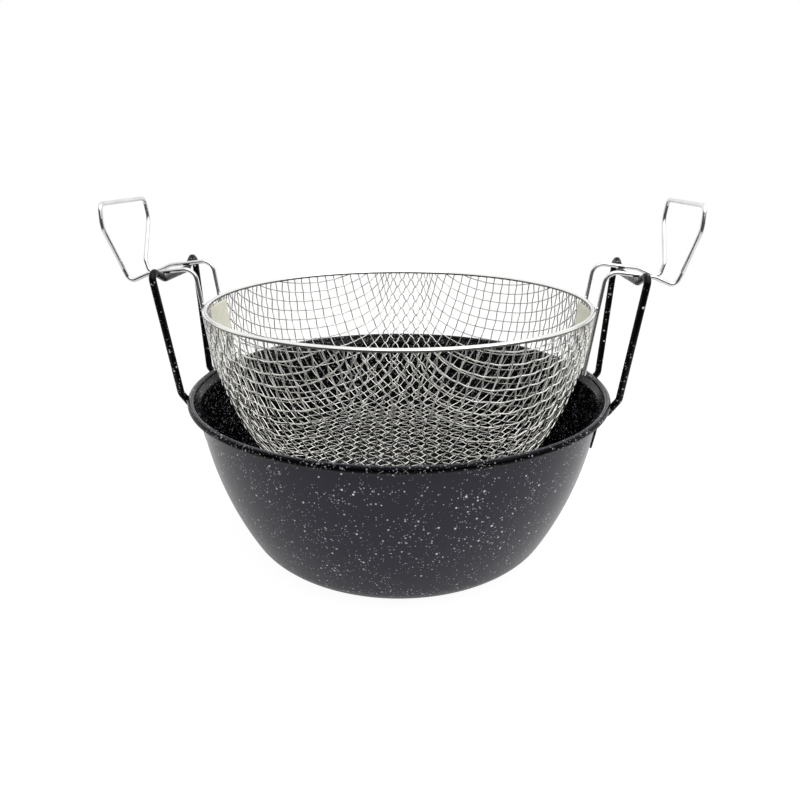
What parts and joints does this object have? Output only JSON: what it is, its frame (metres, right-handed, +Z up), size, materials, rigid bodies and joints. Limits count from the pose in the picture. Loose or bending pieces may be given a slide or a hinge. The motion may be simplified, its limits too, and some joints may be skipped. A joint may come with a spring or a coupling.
{
  "type": "deep fry pot with basket",
  "caption": "Round enamelled fry pot with upright wire handles and a woven wire basket that hooks over them to drain and lifts off.",
  "frame": {"origin": "middle of the pot's flat underside, which it stands on", "axes": "+Z up through the mouth, +X along the line of the handles to the right-hand handle, -Y to the front"},
  "size_m": [0.363, 0.2844, 0.2356],
  "materials": {
    "pot_enamel": "glossy bluish black enamel with white speckles",
    "handle_enamel": "glossy black enamel with sparse white speckles",
    "mesh_wire": "tinned steel wire, satin, faintly yellow",
    "rim_steel": "folded tinned steel strip, satin",
    "grip_wire": "bright plated steel wire",
    "tab_steel": "thin plated steel sheet, satin, pale yellow"
  },
  "bodies": {
    "pot": {"pot_bowl": "pot_enamel", "handle_plate_left": "handle_enamel", "handle_plate_right": "handle_enamel", "pot_handle_left": "handle_enamel", "pot_handle_right": "handle_enamel"},
    "basket": {"basket_mesh": "mesh_wire", "basket_rim": "rim_steel", "basket_handle_left": "grip_wire", "basket_handle_right": "grip_wire", "basket_tab_left": "tab_steel", "basket_tab_right": "tab_steel"}
  },
  "joints": [
    {"name": "basket_lift", "type": "slide", "parent": "pot", "child": "basket", "axis": [0, 0, 1], "range_m": [0, 0.14]}
  ]
}
